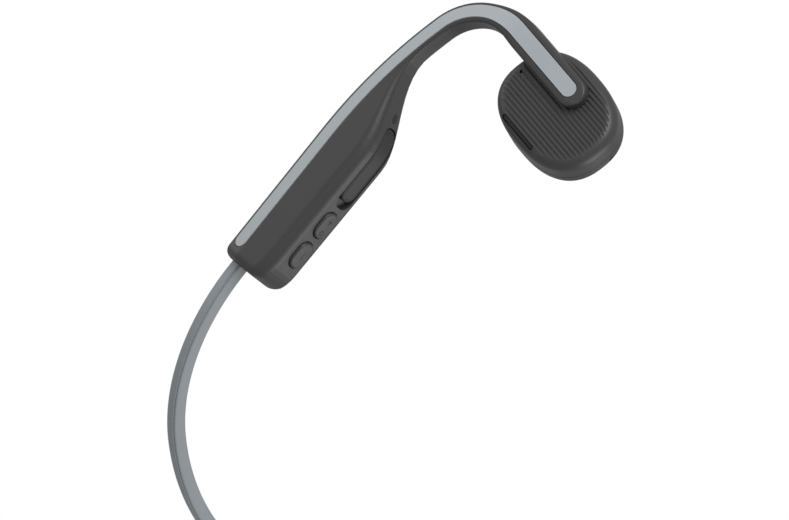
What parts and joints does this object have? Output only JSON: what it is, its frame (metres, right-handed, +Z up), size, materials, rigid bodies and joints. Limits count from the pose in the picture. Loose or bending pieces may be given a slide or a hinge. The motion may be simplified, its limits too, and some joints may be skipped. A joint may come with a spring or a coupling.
{
  "type": "bone conduction headphones",
  "caption": "Open-ear headset: a sprung neckband joins two pods, each with an ear hook and a ribbed bone conduction transducer that rests on the cheekbone.",
  "frame": {"origin": "middle of the base, on the surface that both transducers and the back of the neckband rest on", "axes": "+X forward along the wearer's gaze, +Y to the wearer's left, +Z up; the pods point forward and up as the headset stands on a table"},
  "size_m": [0.1518, 0.1414, 0.0507],
  "materials": {
    "casing": "soft-touch satin charcoal",
    "accent": "satin grey moulding",
    "band": "matte grey silicone",
    "transducer": "ribbed charcoal moulding",
    "pad": "soft matte silicone",
    "button": "satin charcoal",
    "spring_wire": "drawn memory wire",
    "copper": "enamelled copper",
    "steel": "plated steel",
    "magnet": "nickel-plated magnet",
    "board": "solder-masked board",
    "chip": "moulded package",
    "cell": "foil pouch",
    "inner_plastic": "moulded carrier",
    "mesh": "woven acoustic mesh",
    "light_pipe": "smoked light pipe"
  },
  "bodies": {
    "right_side": {"antenna": "copper", "band_leads": "copper", "band_sleeve": "band", "band_wire": "spring_wire", "board_chips": "chip", "board_screws": "steel", "button_seal": "pad", "button_switches": "steel", "circuit_board": "board", "microphone": "steel", "right_accent_strip": "accent", "right_band_socket": "inner_plastic", "right_casing": "casing", "right_hook_leads": "copper", "right_hook_wire": "spring_wire", "right_inner_cover": "casing", "right_leaf_spring": "steel", "right_magnet": "magnet", "right_magnet_yoke": "steel", "right_top_plate": "steel", "right_transducer_base": "transducer", "right_transducer_shell": "transducer", "right_vent_mesh": "mesh", "status_led": "light_pipe", "usb_c_port": "steel"},
    "left_side": {"battery": "cell", "battery_board": "board", "left_accent_strip": "accent", "left_band_socket": "inner_plastic", "left_casing": "casing", "left_hook_leads": "copper", "left_hook_wire": "spring_wire", "left_inner_cover": "casing", "left_leaf_spring": "steel", "left_magnet": "magnet", "left_magnet_yoke": "steel", "left_top_plate": "steel", "left_transducer_base": "transducer", "left_transducer_shell": "transducer", "left_vent_mesh": "mesh", "multifunction_switch": "chip"},
    "port_cover": {"port_cover": "button"},
    "volume_up": {"volume_up_button": "button"},
    "volume_down": {"volume_down_button": "button"},
    "multifunction": {"multifunction_button": "button"},
    "right_driver": {"right_contact_pad": "pad", "right_driver_plate": "inner_plastic", "right_voice_coil": "copper"},
    "left_driver": {"left_contact_pad": "pad", "left_driver_plate": "inner_plastic", "left_voice_coil": "copper"}
  },
  "joints": [
    {"name": "band_flex", "type": "hinge", "parent": "right_side", "child": "left_side", "pos_m": [-0.07381, 0, 0.00192], "axis": [-0.3714, 0, 0.9285], "range_deg": [-6, 20], "stiffness_Nm_per_rad": 0.5, "deforming": ["band_sleeve", "band_wire", "band_leads"]},
    {"name": "port_cover_open", "type": "hinge", "parent": "right_side", "child": "port_cover", "pos_m": [0.02757, -0.06023, 0.03381], "axis": [0.1061, -0.9863, -0.1261], "range_deg": [0, 110]},
    {"name": "volume_up_press", "type": "slide", "parent": "right_side", "child": "volume_up", "axis": [-0.3592, -0.1562, 0.9201], "range_m": [0, 0.0004], "stiffness_N_per_m": 800},
    {"name": "volume_down_press", "type": "slide", "parent": "right_side", "child": "volume_down", "axis": [-0.3592, -0.1562, 0.9201], "range_m": [0, 0.0004], "stiffness_N_per_m": 800},
    {"name": "multifunction_press", "type": "slide", "parent": "left_side", "child": "multifunction", "axis": [-0.2762, -0.9424, 0.1886], "range_m": [0, 0.00035], "stiffness_N_per_m": 800},
    {"name": "right_driver_vibration", "type": "slide", "parent": "right_side", "child": "right_driver", "axis": [0.2762, -0.9424, -0.1886], "range_m": [-0.0002, 0.0002], "stiffness_N_per_m": 6000, "deforming": ["right_leaf_spring"]},
    {"name": "left_driver_vibration", "type": "slide", "parent": "left_side", "child": "left_driver", "axis": [0.2762, 0.9424, -0.1886], "range_m": [-0.0002, 0.0002], "stiffness_N_per_m": 6000, "deforming": ["left_leaf_spring"]}
  ]
}
